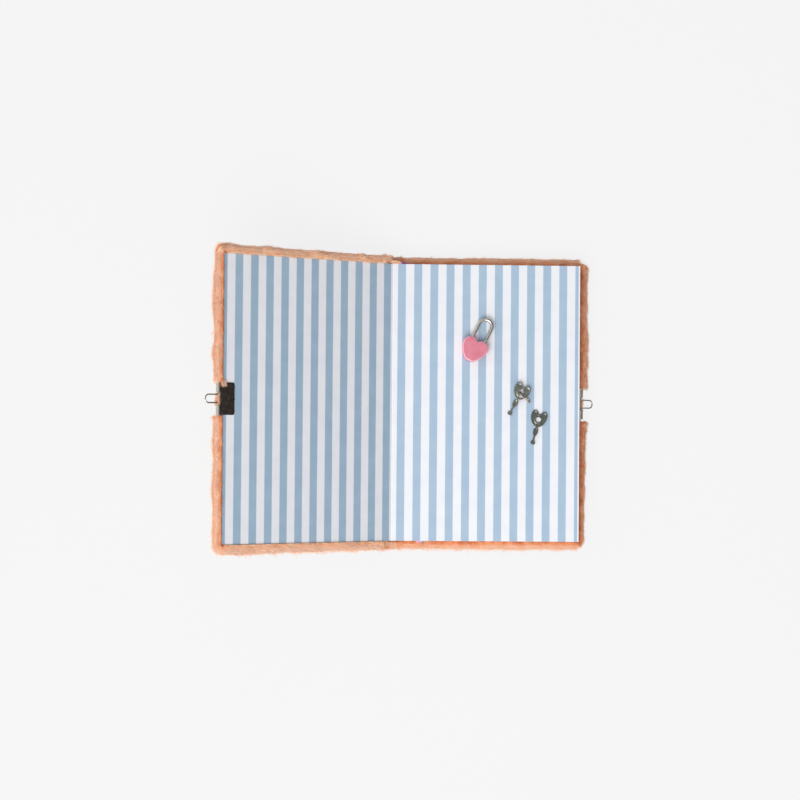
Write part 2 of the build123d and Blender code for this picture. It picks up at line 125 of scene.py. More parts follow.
def shades(tree, amount, stops):
    """The colour for an amount from 0 to 1; stops are pairs of place and hex colour."""
    ramp = add_node(tree, "ShaderNodeValToRGB", {0: amount})
    elements = ramp.color_ramp.elements
    while len(elements) < len(stops):
        elements.new(1.0)
    for element, (place, code) in zip(elements, stops):
        element.position = place
        element.color = linear(code)
    return ramp.outputs[0]


def mix(tree, share, first, second, **settings):
    """A mix of two colours; share is how much of the second."""
    sockets = {0: share, 6: first, 7: second}
    return add_node(tree, "ShaderNodeMix", sockets, data_type="RGBA", **settings).outputs[2]


def emboss(tree, shader, pattern, strength, depth):
    """Let a pattern raise the surface; depth is in mm."""
    bump = add_node(tree, "ShaderNodeBump", {"Strength": strength, "Distance": depth * MM, "Height": pattern})
    tree.links.new(bump.outputs[0], shader.inputs["Normal"])


print("pattern helpers ready")

# %% Helpers for pieces
def new_piece(name, mesh, finish):
    """An object with one finish, in the scene."""
    mesh.name = name
    mesh.materials.clear()
    mesh.materials.append(finish)
    obj = bpy.data.objects.new(name, mesh)
    scene.collection.objects.link(obj)
    return obj


def piece_from(name, bm, finish):
    """The shape in bm as a piece."""
    mesh = bpy.data.meshes.new(name)
    bm.to_mesh(mesh)
    bm.free()
    return new_piece(name, mesh, finish)


def thicken(bm, shift):
    """Give a sheet a second face, moved by shift, and walls between the two."""
    raised = bmesh.ops.extrude_face_region(bm, geom=bm.faces[:], use_keep_orig=True)["geom"]
    copied = [part for part in raised if isinstance(part, bmesh.types.BMVert)]
    bmesh.ops.translate(bm, verts=copied, vec=shift)
    bmesh.ops.recalc_face_normals(bm, faces=bm.faces)


def wear(finish, *nodes):
    """Give solids one finish all over."""
    for node in nodes:
        mesh = solids[node].data
        mesh.materials.clear()
        mesh.materials.append(finish)


print("piece helpers ready")

# %% [markdown]
# ## Floor, light and camera
# The diary lies on a pale sheet under a large soft lamp at the left, towards the tail: the pile is
# bright along the tail and darker where the leaves stand between it and the lamp; there its colour
# holds painted shade as well. The room is dim on the other side, which matters for the metal:
# polished nickel has hardly any colour of its own, it only mirrors what stands round it.

# %% Floor
# A matt sheet. The camera and mirrors see it evenly pale; the diary gets light from it as from paper.
floor_half, floor_middle, floor_glow = 4.0, (-0.065, 0, 0), 0.9
floor_finish, tree, shader = new_finish("Pale paper floor", Base_Color=linear("#F0F0F0"), Roughness=0.9)
shader.inputs["Specular IOR Level"].default_value = 0.0
path = add_node(tree, "ShaderNodeLightPath")
seen = work_out(tree, "MAXIMUM", path.outputs["Is Camera Ray"], path.outputs["Is Glossy Ray"])
share = work_out(tree, "MULTIPLY", seen, floor_glow)
even = add_node(tree, "ShaderNodeEmission", {"Color": linear("#F6F6F6"), "Strength": 1.0})
mixed = add_node(tree, "ShaderNodeMixShader", {0: share, 1: shader.outputs[0], 2: even.outputs[0]})
tree.links.new(mixed.outputs[0], tree.nodes["Material Output"].inputs["Surface"])
bm = bmesh.new()
bmesh.ops.create_grid(bm, x_segments=1, y_segments=1, size=floor_half)
bmesh.ops.translate(bm, verts=bm.verts, vec=floor_middle)
floor = piece_from("floor", bm, floor_finish)
print("floor at z = 0")

# %% World
bright_side = (-0.94, -0.34, 0.0)
scene.view_settings.view_transform = "Standard"
world = bpy.data.worlds.new("Studio")
world.use_nodes = True
scene.world = world
tree = world.node_tree
backdrop = tree.nodes["Background"]
place = add_node(tree, "ShaderNodeTexCoord")
towards = add_node(tree, "ShaderNodeVectorMath", {0: place.outputs["Generated"], 1: bright_side},
                   operation="DOT_PRODUCT")
nearness = add_node(tree, "ShaderNodeMapRange", {"Value": towards.outputs["Value"], 1: -1.0, 2: 1.0})
room = shades(tree, nearness.outputs[0],
              [(0.0, "#1E1B1A"), (0.11, "#37322F"), (0.22, "#A2A2A5"), (0.5, "#CDCDD0"), (1.0, "#FFFFFF")])
path = add_node(tree, "ShaderNodeLightPath")
pale = mix(tree, path.outputs["Is Camera Ray"], room, linear("#F4F4F4"))
tree.links.new(pale, backdrop.inputs["Color"])
backdrop.inputs["Strength"].default_value = 1.0
print("the room is bright towards", bright_side)

# %% Lamp
lamp_target = Vector((-0.06, 0, 0.02))
lamp_data = bpy.data.lights.new("soft_window", "AREA")
lamp_data.shape = "DISK"
lamp_data.size = 1.2
lamp_data.energy = 16.0
lamp = bpy.data.objects.new("soft_window", lamp_data)
scene.collection.objects.link(lamp)
lamp.location = (-0.42, -0.76, 1.42)
lamp.rotation_euler = (lamp_target - lamp.location).to_track_quat("-Z", "Y").to_euler()
print("lamp", lamp_data.energy, "W")

# %% Camera
# Its place, and how it is turned about each axis, were fitted to points seen in the photo.
camera_place = (-0.1163, -0.0282, 1.4325)
about_x, about_y, about_z = -0.0211, 0.0347, -0.0090
camera_data = bpy.data.cameras.new("overhead")
camera_data.lens = 85.5
camera_data.sensor_width = 36.0
camera_data.clip_start = 0.01
camera = bpy.data.objects.new("overhead", camera_data)
scene.collection.objects.link(camera)
aim = Matrix.Rotation(about_z, 3, "Z") @ Matrix.Rotation(about_y, 3, "Y") @ Matrix.Rotation(about_x, 3, "X")
camera.matrix_world = Matrix.Translation(camera_place) @ aim.transposed().to_4x4()
scene.camera = camera
print("camera", [round(c, 3) for c in camera.location])

# %% [markdown]
# ## Places on the covers
# Each cover has its own directions: outwards from its hinge line, along the spine, and off its
# striped face. With them a point of either cover can be read as millimetres from its hinge, so
# one recipe dresses the flat back cover and the raised front cover.

# %% Directions of the two covers
lean = radians(30)
covers = {
    "front": (Vector(hinges["cover_swing"]["pos_m"]),
              Vector((-cos(lean), 0, sin(lean))), Vector((sin(lean), 0, cos(lean)))),
    "back": (Vector(hinges["block_lift"]["pos_m"]), Vector((1, 0, 0)), Vector((0, 0, 1))),
}
board_reach = 142.6
gutter = Vector(hinges["flyleaf_lift"]["pos_m"])
page_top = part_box("front_flyleaf")[1][2]


def on_cover(side, point):
    """A point as millimetres outwards, along the spine and off the striped face."""
    origin, out, off = covers[side]
    step = (point - origin) / MM
    return step.dot(out), step.y, step.dot(off)


def from_cover(side, u, v, w):
    """The point at these millimetres of a cover."""
    origin, out, off = covers[side]
    return origin + (out * u + off * w + Vector((0, v, 0))) * MM


print("front board's fore edge at", [round(c / MM, 1) for c in from_cover("front", board_reach, 0, 0)])

# %% [markdown]
# ## Striped endpaper
# The endpapers are smooth uncoated paper printed with broad pale blue stripes, about 12 mm from
# one to the next. A printed stripe is flat ink, so it is drawn by a distance from each stripe's
# middle, with an edge that is only slightly soft. Paper fibre gives a faint cloud and a faint bump.

# %% Paper with stripes
def striped_paper(name, turn, shift, first, step, blue_width, last, inks):
    """Uncoated paper whose stripes start at first and end at last, in mm from the fold.

    Shift and turn bring the pattern to the fold.
    """
    # Pressed pulp with matt ink: no gloss, a soft white with a blue tinge, clouds of about a centimetre.
    finish, tree, shader = new_finish(name, Roughness=0.72)
    shader.inputs["Specular IOR Level"].default_value = 0.28
    place = add_node(tree, "ShaderNodeTexCoord")
    turned = add_node(tree, "ShaderNodeMapping",
                      {"Vector": place.outputs["Object"], "Location": shift, "Rotation": (0, turn, 0)})
    across = add_node(tree, "ShaderNodeSeparateXYZ", {0: turned.outputs[0]}).outputs["X"]
    half, soft = blue_width / 2, 0.15
    steps = work_out(tree, "MULTIPLY_ADD", across, 1 / (step * MM), 0.5 - (first + half) / step)
    from_middle = work_out(tree, "SUBTRACT", work_out(tree, "FRACT", steps), 0.5)
    away = work_out(tree, "ABSOLUTE", from_middle)
    ink = add_node(tree, "ShaderNodeMapRange",
                   {"Value": away, 1: (half - soft) / step, 2: (half + soft) / step, 3: 1.0, 4: 0.0})
    trim = work_out(tree, "LESS_THAN", across, last * MM)
    printed = work_out(tree, "MULTIPLY", ink.outputs[0], trim)
    cloud = clouds(tree, 11, 4.0)
    white = shades(tree, cloud, [(0.3, "#EDEFF4"), (0.7, "#F2F4F8")])
    blue = shades(tree, cloud, list(zip((0.3, 0.7), inks)))
    tree.links.new(mix(tree, printed, white, blue), shader.inputs["Base Color"])
    # Fibres are some hundredths of a millimetre thick; they are drawn 0.7 mm apart so that they show.
    emboss(tree, shader, clouds(tree, 0.7), 0.06, 0.1)
    return finish


front_origin, front_out, front_off = covers["front"]
flyleaf_paper = striped_paper("Striped paper, flyleaf", 0.0, (-gutter.x, 0, 0),
                              3.3, 12.06, 5.9, 138.4, ("#A9C0D5", "#B0C6DA"))
# The cover's inks are deeper: painted shade for the half that lies turned away from the lamp.
cover_paper_painted_shade = striped_paper("Striped paper, cover, painted shade", pi - lean, (-front_origin.dot(front_out), 0, 0),
                            1.55, 12.35, 6.1, 150.0, ("#9FB8CC", "#A7BFD3"))
wear(flyleaf_paper, "front_flyleaf", "back_flyleaf", "back_pastedown")
print("two striped papers")

# %% [markdown]
# ## The half pasted on the cover
# The pasted half of the endpaper runs on to the turned-in plush, a little further than its solid, so
# it is a new sheet: one grid laid on the board and given the thickness of paper. Its blue is painted
# a touch deeper: painted shade, as this half lies tilted away from the lamp.

# %% Pasted sheet
pasted_start, pasted_end, pasted_height, paper_thickness = 0.3, 140.1, 206.0, 0.2
bm = bmesh.new()
bmesh.ops.create_grid(bm, x_segments=28, y_segments=20, size=0.5)
for vert in bm.verts:
    reach = pasted_start + (vert.co.x + 0.5) * (pasted_end - pasted_start)
    vert.co = from_cover("front", reach, vert.co.y * pasted_height, 0.0)
thicken(bm, -front_off * paper_thickness * MM)
pasted_endpaper = piece_from("pasted_endpaper", bm, cover_paper_painted_shade)
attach(pasted_endpaper, "front_cover")
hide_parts("front_pastedown")
print("pasted sheet", len(pasted_endpaper.data.polygons), "faces")

# %% [markdown]
# ## The fold of the endpaper
# Pastedown and flyleaf are one folded sheet, and its fold lies in the gutter. It has to bend when
# the cover swings; here it is a narrow strip of its own, laid from the pages to the cover.

# %% Fold strip
fold_dip, fold_thickness = 0.12, 0.1
# The same paper without ink; a fold breaks its fibres, which only makes it a little whiter.
fold_paper, tree, shader = new_finish("Unprinted paper fold", Roughness=0.75)
white = shades(tree, clouds(tree, 3.3), [(0.3, "#EFF0F4"), (0.7, "#F8F9FC")])
tree.links.new(white, shader.inputs["Base Color"])
start = Vector((gutter.x, 0, page_top - 0.1 * MM))
end = from_cover("front", 0.4, 0, -0.1)
bm = bmesh.new()
bmesh.ops.create_grid(bm, x_segments=6, y_segments=40, size=0.5)
for vert in bm.verts:
    t = vert.co.x + 0.5
    dip = Vector((0, 0, -fold_dip * MM * sin(pi * t)))
    vert.co = start.lerp(end, t) + dip + Vector((0, vert.co.y * pasted_height * MM, 0))
bmesh.ops.recalc_face_normals(bm, faces=bm.faces)
bmesh.ops.solidify(bm, geom=bm.faces[:], thickness=fold_thickness * MM)
endpaper_fold = piece_from("endpaper_fold", bm, fold_paper)
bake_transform(endpaper_fold)
print("fold strip", len(endpaper_fold.data.polygons), "faces")

# %% [markdown]
# ## Leaf edges
# A block of leaves shows its edges as fine lines. Single leaves are a tenth of a millimetre thick,
# too fine to show, so the lines are drawn about three times as coarse, and uneven.

# %% Leaves
# Cut paper edges: creamy, quite matt, in thin uneven lines of light and shade along the block.
leaf_length, leaf_lines = 55.0, 0.31
leaf_finish, tree, shader = new_finish("Uncoated leaves", Roughness=0.85)
shader.inputs["Specular IOR Level"].default_value = 0.2
place = add_node(tree, "ShaderNodeTexCoord")
level_scale, upright_scale = 1 / (leaf_length * MM), 1 / (leaf_lines * MM)
squeezed = add_node(tree, "ShaderNodeMapping",
                    {"Vector": place.outputs["Object"], "Scale": (level_scale, level_scale, upright_scale)})
lines = add_node(tree, "ShaderNodeTexNoise", {"Vector": squeezed.outputs[0], "Scale": 1.0, "Detail": 2.0})
shade = shades(tree, lines.outputs["Fac"], [(0.3, "#CFCABD"), (0.5, "#EDEAE2"), (0.75, "#F7F5EF")])
tree.links.new(shade, shader.inputs["Base Color"])
emboss(tree, shader, lines.outputs["Fac"], 0.35, 0.2)
signatures = [name for name in solids if name.startswith("signature_")]
wear(leaf_finish, *signatures)
print(len(signatures), "signatures")

# %% [markdown]
# ## Boards and lining
# Greyboard is pressed from waste paper, so it is flecked. It hides under the plush, and only an
# edge of it may ever be seen. The lining on the folds is an open cloth.

# %% Greyboard and lining
# Pressed waste paper: dull grey-brown with flecks of a millimetre or two.
board_finish, tree, shader = new_finish("Greyboard", Roughness=0.95)
grey = shades(tree, clouds(tree, 1.4, 5.0), [(0.35, "#7C7368"), (0.65, "#9C9488")])
tree.links.new(grey, shader.inputs["Base Color"])
wear(board_finish, "front_board", "back_board", "spine_board")
# Open woven cotton: cream threads with shade between them, 0.8 mm apart.
thread_step = 0.8
lining_finish, tree, shader = new_finish("Lining cloth", Roughness=0.95)
place = add_node(tree, "ShaderNodeTexCoord")
thread_scale = WAVE_REPEAT / (thread_step * MM)
threads = add_node(tree, "ShaderNodeTexWave",
                   {"Vector": place.outputs["Object"], "Scale": thread_scale, "Distortion": 1.0},
                   bands_direction="Z")
cloth = shades(tree, threads.outputs["Fac"], [(0.2, "#C9C4B8"), (0.8, "#EEEAE0")])
tree.links.new(cloth, shader.inputs["Base Color"])
wear(lining_finish, "spine_lining")
print("boards and lining dressed")

# %% [markdown]
# ## Nickel, enamel and keys
# The clasps, loops and shackle are steel with bright nickel plate: a warm grey metal with little
# roughness, and a faint unevenness from stamping. The lock's body is cast metal under glossy pink
# enamel, which is a coloured coat with a clear gloss on top. The keys' nickel is softer, and its
# colour is painted darker: painted shade for the dark room that their flat faces mirror.

# %% Metals
def plated(name, dark, light, roughness, grain, dents):
    """Nickel plate whose colour wanders a little; grain is a size in mm, dents a bump strength."""
    # Plated metal: the eye sees the room in it, bent by stamping marks, and only a hint of warm grey.
    finish, tree, shader = new_finish(name, Metallic=1.0, Roughness=roughness)
    cloud = clouds(tree, grain, 3.0)
    tone = shades(tree, cloud, [(0.35, dark), (0.65, light)])
    tree.links.new(tone, shader.inputs["Base Color"])
    emboss(tree, shader, cloud, dents, 0.3)
    return finish


plate_finish = plated("Bright nickel plate, stamped", "#BDB5AA", "#D3CBC0", 0.16, 3.5, 0.5)
wire_finish = plated("Bright nickel plate, wire", "#C3C0B6", "#D3D0C6", 0.16, 2.0, 0.05)
link_finish = plated("Dull nickel plate, wire", "#A99C90", "#BDB1A5", 0.34, 2.0, 0.05)
# The keys' base colour is painted darker: painted shade for the dark room their flat faces mirror.
key_finish_painted_dark = plated("Nickel plate of the keys, painted dark", "#6A6D66", "#7C7F77", 0.24, 3.0, 0.1)
work_finish = plated("Zinc plate", "#9C978C", "#B4AFA4", 0.4, 1.5, 0.1)
stamped, keys = ("front_clasp_plate", "back_clasp_plate"), ("first_key", "second_key")
wear(plate_finish, *stamped)
wear(wire_finish, "front_clasp_loop", "back_clasp_loop", "padlock_shackle")
wear(link_finish, "key_link")
wear(key_finish_painted_dark, *keys)
wear(work_finish, "padlock_rivets", "shackle_spring", "shackle_follower", "padlock_plug", "padlock_latch")
print("five metals")

# %% Eased edges
# A stamped edge is never sharp, and its small round is what catches the light.
edge_round, same_point, sharp_angle = 0.14, 0.005, radians(50)
for node in stamped + keys:
    joined = solids[node].modifiers.new("joined", "WELD")
    joined.merge_threshold = same_point * MM
    eased = solids[node].modifiers.new("eased edges", "BEVEL")
    eased.width = edge_round * MM
    eased.segments = 2
    eased.limit_method = "ANGLE"
    eased.angle_limit = sharp_angle
    solids[node].modifiers.new("flat faces", "WEIGHTED_NORMAL")
print("edges eased by", edge_round, "mm")

# %% Enamel
# Enamel flows while it is baked: a smooth pink with a clear gloss, faintly rippled like orange peel.
enamel, tree, shader = new_finish("Pink enamel, painted edge highlight", Roughness=0.32, Coat_Weight=0.5, Coat_Roughness=0.12)
pink = shades(tree, clouds(tree, 6.2), [(0.3, "#DA768A"), (0.7, "#E48699")])
# A paler band along the rounded edge, just below the top face, is a painted highlight where that edge catches
# the lamp.
highlight_band_depth = 1.0
place = add_node(tree, "ShaderNodeTexCoord")
level = add_node(tree, "ShaderNodeSeparateXYZ", {0: place.outputs["Object"]})
face_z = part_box("padlock_front")[1][2]
depth = add_node(tree, "ShaderNodeMapRange",
                 {"Value": level.outputs["Z"], 1: face_z - highlight_band_depth * MM, 2: face_z})
painted_edge_highlight = shades(tree, depth.outputs[0],
              [(0.2, "#000000"), (0.5, "#FFFFFF"), (0.8, "#FFFFFF"), (0.94, "#000000")])
tree.links.new(mix(tree, painted_edge_highlight, pink, linear("#F5BCC9")), shader.inputs["Base Color"])
emboss(tree, shader, clouds(tree, 1.1), 0.05, 0.2)
wear(enamel, "padlock_front", "padlock_back")
print("enamel done")

# %% [markdown]
# ## Ribbon marker
# A narrow satin ribbon lies in the block and only its two ends show, purple and red at the head,
# pink and teal at the tail. It is cut from one strip: a long grid is laid along the ribbon's line,
# its head is cut on the slant so that it doesn't fray, and it gets the thickness of woven tape. The
# pattern is turned to the ribbon's own direction, so the warp threads run along it.

# %% Ribbon's cloth
ribbon_head, ribbon_tail, ribbon_width, ribbon_thickness = (-64.2, 105.4), (-51.4, -104.4), 6.4, 0.2
# Woven satin: smooth warp threads give a soft gloss along the tape, and fine lines beside each other.
ribbon_lean, warp_step, dye_change = -0.0610, 0.5, 90
ribbon_finish, tree, shader = new_finish("Woven satin ribbon", Roughness=0.45, Sheen_Weight=0.3)
place = add_node(tree, "ShaderNodeTexCoord")
turned = add_node(tree, "ShaderNodeMapping",
                  {"Vector": place.outputs["Object"], "Rotation": (0, 0, ribbon_lean)})
split = add_node(tree, "ShaderNodeSeparateXYZ", {0: turned.outputs[0]})
middle = (Vector(ribbon_head) + Vector(ribbon_tail)) * 0.5 * MM
across = middle.x * cos(ribbon_lean) - middle.y * sin(ribbon_lean)
half_width = ribbon_width / 2 * MM
band = add_node(tree, "ShaderNodeMapRange",
                {"Value": split.outputs["X"], 1: across - half_width, 2: across + half_width})
head_dyes = shades(tree, band.outputs[0], [(0.0, "#7A3E93"), (0.5, "#8E3F86"), (0.75, "#C0506A")])
tail_dyes = shades(tree, band.outputs[0], [(0.0, "#EE9FB4"), (0.62, "#EA93AC"), (0.75, "#2F9AA3")])
along = add_node(tree, "ShaderNodeMapRange",
                 {"Value": split.outputs["Y"], 1: -dye_change * MM, 2: dye_change * MM, 3: 1.0, 4: 0.0})
tree.links.new(mix(tree, along.outputs[0], head_dyes, tail_dyes), shader.inputs["Base Color"])
# Warp threads are 0.1 mm apart; they are drawn five times as coarse so that they show.
warp = add_node(tree, "ShaderNodeTexWave",
                {"Vector": turned.outputs[0], "Scale": WAVE_REPEAT / (warp_step * MM)}, bands_direction="X")
emboss(tree, shader, warp.outputs["Fac"], 0.3, 0.1)
print("satin ready")

# %% Ribbon's strip
ribbon_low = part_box("ribbon_marker")[0][2] / MM + 0.02
ribbon_run = Vector(ribbon_tail) - Vector(ribbon_head)
ribbon_side = Vector((-ribbon_run.y, ribbon_run.x)).normalized()
ribbon_cut, half_leaves, ribbon_droop = 1.9, 103.2, 0.09
bm = bmesh.new()
bmesh.ops.create_grid(bm, x_segments=105, y_segments=6, size=0.5)
for vert in bm.verts:
    slant = ribbon_cut / ribbon_run.length * (vert.co.y + 0.5)
    middle = Vector(ribbon_head) + ribbon_run * (slant + (1 - slant) * (vert.co.x + 0.5))
    past_leaves = max(0.0, abs(middle.y) - half_leaves)
    spot = middle + ribbon_side * vert.co.y * ribbon_width
    vert.co = Vector((spot.x, spot.y, ribbon_low - ribbon_droop * past_leaves ** 2)) * MM
thicken(bm, (0, 0, ribbon_thickness * MM))
satin_ribbon = piece_from("satin_ribbon", bm, ribbon_finish)
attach(satin_ribbon, "text_block")
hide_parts("ribbon_marker")
print("ribbon", len(satin_ribbon.data.polygons), "faces")

# %% [markdown]
# ## Pile fabric
# Plush is a knitted backing with long soft pile that leans over in locks. Two layers make it here:
# a lumpy skin that follows the covering solid, and many tapered strands that grow from it. The
# strands could be a hair system, but those don't travel to other programs, so each one is a small
# blade of mesh, scattered by geometry nodes and then made real. A strand carries its own little map:
# how pale it is, by its dye and by painted shade, runs across, and its height from root to tip runs up.

# %% Pile colours
# Fine dyed acrylic fibres: no gloss, a pale bloom where they turn away, deeper orange between them.
pile_finish, tree, shader = new_finish("Peach pile", Roughness=0.85, Sheen_Weight=0.4, Sheen_Roughness=0.5)
shader.inputs["Specular IOR Level"].default_value = 0.12
shader.inputs["Sheen Tint"].default_value = linear("#FFD9BF")
grid = add_node(tree, "ShaderNodeUVMap", uv_map="OFBake")
split = add_node(tree, "ShaderNodeSeparateXYZ", {0: grid.outputs[0]})
# Light is lost between strands, so a single one is paler than the cloth looks.
height = shades(tree, split.outputs["Y"], [(0.0, "#FDB68A"), (0.4, "#FFD3AF"), (1.0, "#FFF0E2")])
# Where the note is low the strands are deep orange: their dye, and painted shade beside the paper.
dye = shades(tree, split.outputs["X"], [(0.0, "#D27F4E"), (0.45, "#FFE0CA"), (1.0, "#FFFFFF")])
dyed = mix(tree, 1.0, height, dye, blend_type="MULTIPLY")
tree.links.new(dyed, shader.inputs["Base Color"])

# The knitted ground of the plush: matt, coloured like the pile on it, by dye and painted shade, and mottled
# in tufts of about 3 mm.
mottle_share = 0.5
backing_finish, tree, shader = new_finish("Plush backing", Roughness=0.95)
shader.inputs["Specular IOR Level"].default_value = 0.1
mottled = work_out(tree, "MULTIPLY_ADD", clouds(tree, 2.9, 4.0), mottle_share, -mottle_share / 2)
noted_dye_and_shade = add_node(tree, "ShaderNodeAttribute", attribute_name="dye")
strength = work_out(tree, "ADD", noted_dye_and_shade.outputs["Fac"], mottled)
# Deep brown where the note is lowest: painted shade in the gap beside the paper.
orange = shades(tree, strength, [(0.0, "#B0673D"), (0.45, "#F2A878"), (1.0, "#FFD8B8")])
tree.links.new(orange, shader.inputs["Base Color"])
print("pile finishes ready")

# %% One strand
strand_taper, strand_curl = 0.8, 0.1
strand_mesh = bpy.data.meshes.new("strand")
bm = bmesh.new()
bmesh.ops.create_grid(bm, x_segments=1, y_segments=2, size=0.5)
run_up = bm.loops.layers.uv.new("OFBake")
for face in bm.faces:
    for loop in face.loops:
        loop[run_up].uv = (loop.vert.co.x + 0.5, loop.vert.co.y + 0.5)
for vert in bm.verts:
    t = vert.co.y + 0.5
    vert.co = Vector((vert.co.x * (1 - strand_taper * t * t), -strand_curl * t * t, t))
bm.to_mesh(strand_mesh)
bm.free()
strand = bpy.data.objects.new("strand", strand_mesh)
scene.collection.objects.link(strand)
print("a strand has", len(strand_mesh.polygons), "faces")

# %% Scatter the strands
# What a skin says about its pile: strands for the rim, the outside and the fringe, their lay, and their dye
# with painted shade.
NOTES = (("rim", "FLOAT"), ("field", "FLOAT"), ("fringe", "FLOAT"), ("lay", "FLOAT_VECTOR"), ("dye", "FLOAT"))
# Nothing of the fabric comes nearer to the floor than this.
floor_gap = 0.15
# How strands differ from one another: in dye, in their twist in radians, in length and in width.
dye_hold, dye_spread, most_twist = 0.8, 0.18, 0.8
shortest, longest, thinnest, widest = 0.7, 1.25, 0.7, 1.3


def pile_scatter(name, where, density, width, length, seed, stand, spread):
    """Geometry nodes that plant a strand on each scattered point, leaning along the skin's lay.

    Stand lifts it towards the skin's normal, and spread is how far strands stray.
    """
    tree = bpy.data.node_groups.new(name, "GeometryNodeTree")
    tree.interface.new_socket("Geometry", in_out="INPUT", socket_type="NodeSocketGeometry")
    tree.interface.new_socket("Geometry", in_out="OUTPUT", socket_type="NodeSocketGeometry")
    draws = count(seed + 1)

    def chance(least, most, kind="FLOAT"):
        """A random value for each strand."""
        sockets = {0: least, 1: most} if kind == "FLOAT_VECTOR" else {2: least, 3: most}
        sockets["Seed"] = next(draws)
        node = add_node(tree, "FunctionNodeRandomValue", sockets, data_type=kind)
        return node.outputs[0 if kind == "FLOAT_VECTOR" else 1]

    def noted(note_name, kind="FLOAT"):
        """A value noted on the skin or the strand."""
        node = add_node(tree, "GeometryNodeInputNamedAttribute", {"Name": note_name}, data_type=kind)
        return node.outputs["Attribute"]

    skin = add_node(tree, "NodeGroupInput")
    per_square_metre = work_out(tree, "MULTIPLY", noted(where), density * 1e6)
    roots = add_node(tree, "GeometryNodeDistributePointsOnFaces",
                     {"Mesh": skin.outputs[0], "Density": per_square_metre, "Seed": seed})
    # Each strand keeps the skin's dye and painted shade, a little paler or deeper than its neighbours.
    pale = work_out(tree, "MULTIPLY_ADD", noted("dye"), dye_hold, chance(0.0, dye_spread))
    tinted = add_node(tree, "GeometryNodeStoreNamedAttribute",
                      {"Geometry": roots.outputs["Points"], "Name": "lot", "Value": pale},
                      data_type="FLOAT", domain="POINT")
    # It points along the lay, strays from it and turns about itself.
    astray = chance((-spread,) * 3, (spread,) * 3, "FLOAT_VECTOR")
    strayed = add_node(tree, "ShaderNodeVectorMath", {0: noted("lay", "FLOAT_VECTOR"), 1: astray},
                       operation="ADD")
    way = add_node(tree, "ShaderNodeVectorMath",
                   {0: roots.outputs["Normal"], 1: (stand,) * 3, 2: strayed.outputs[0]},
                   operation="MULTIPLY_ADD")
    aim = add_node(tree, "FunctionNodeAxesToRotation",
                   {"Primary Axis": way.outputs[0], "Secondary Axis": roots.outputs["Normal"]},
                   primary_axis="Z", secondary_axis="Y")
    twist = add_node(tree, "FunctionNodeAxisAngleToRotation",
                     {"Axis": (0, 0, 1), "Angle": chance(-most_twist, most_twist)})
    turned = add_node(tree, "FunctionNodeRotateRotation", {0: aim.outputs[0], 1: twist.outputs[0]},
                      rotation_space="LOCAL")
    tall = chance(shortest * length * MM, longest * length * MM)
    wide = chance(thinnest * width * MM, widest * width * MM)
    size = add_node(tree, "ShaderNodeCombineXYZ", {0: wide, 1: tall, 2: tall})
    shape = add_node(tree, "GeometryNodeObjectInfo", {"Object": strand})
    planted = add_node(tree, "GeometryNodeInstanceOnPoints",
                       {"Points": tinted.outputs[0], "Instance": shape.outputs["Geometry"],
                        "Rotation": turned.outputs[0], "Scale": size.outputs[0]})
    real = add_node(tree, "GeometryNodeRealizeInstances", {"Geometry": planted.outputs[0]})
    # Its map: the dye and painted shade across, with hardly any width, and the height up.
    own = add_node(tree, "ShaderNodeSeparateXYZ", {0: noted("OFBake", "FLOAT_VECTOR")})
    dye_place = work_out(tree, "MULTIPLY_ADD", own.outputs["X"], 0.01, noted("lot"))
    spot = add_node(tree, "ShaderNodeCombineXYZ", {0: dye_place, 1: own.outputs["Y"]})
    mapped = add_node(tree, "GeometryNodeStoreNamedAttribute",
                      {"Geometry": real.outputs[0], "Name": "OFBake", "Value": spot.outputs[0]},
                      data_type="FLOAT2", domain="CORNER")
    # The floor bends strands that would reach through it.
    position = add_node(tree, "GeometryNodeInputPosition")
    here = add_node(tree, "ShaderNodeSeparateXYZ", {0: position.outputs[0]})
    lifted = work_out(tree, "MAXIMUM", here.outputs["Z"], floor_gap * MM)
    kept = add_node(tree, "ShaderNodeCombineXYZ", {0: here.outputs["X"], 1: here.outputs["Y"], 2: lifted})
    laid = add_node(tree, "GeometryNodeSetPosition",
                    {"Geometry": mapped.outputs[0], "Position": kept.outputs[0]})
    add_node(tree, "NodeGroupOutput", {0: laid.outputs[0]})
    return tree


print("scatter ready")

# %% Grow the pile
def worked_in(obj):
    """The object's mesh as its modifiers leave it."""
    graph = bpy.context.evaluated_depsgraph_get()
    return bpy.data.meshes.new_from_object(obj.evaluated_get(graph), depsgraph=graph)


def grow_pile(name, skin, where, density, width, length, seed, stand=0.0, spread=0.15):
    """Strands on a skin as a mesh of their own; density is strands in a square millimetre."""
    grower = skin.modifiers.new("pile", "NODES")
    grower.node_group = pile_scatter(name, where, density, width, length, seed, stand, spread)
    mesh = worked_in(skin)
    skin.modifiers.clear()
    for left_over in [note_name for note_name, kind in NOTES] + ["lot"]:
        if left_over in mesh.attributes:
            mesh.attributes.remove(mesh.attributes[left_over])
    print(name, len(mesh.polygons) // 2, "strands")
    return new_piece(name, mesh, pile_finish)


print("pile ready to grow")

# %% [markdown]
# ## Skins of the covers
# A copy of each covering solid is remeshed to even faces, pressed in so that the pile's tips come
# to about where the solid's face was, and made lumpy. Each point then gets notes: how much pile
# grows there, none where the fabric lies against the board, which way it lies, and how pale it is.
# The pile is painted deeper in colour beside the paper, as shade, and the ground under it shares
# that colour. Three sorts of pile grow: short on the rims, long on the outside,
# and along the edges a fringe of fine strands that stand up and make the outline soft.

# %% Skin from a solid
# Corners of the solid's faces that are nearer to each other than this are one point.
seam = 0.002


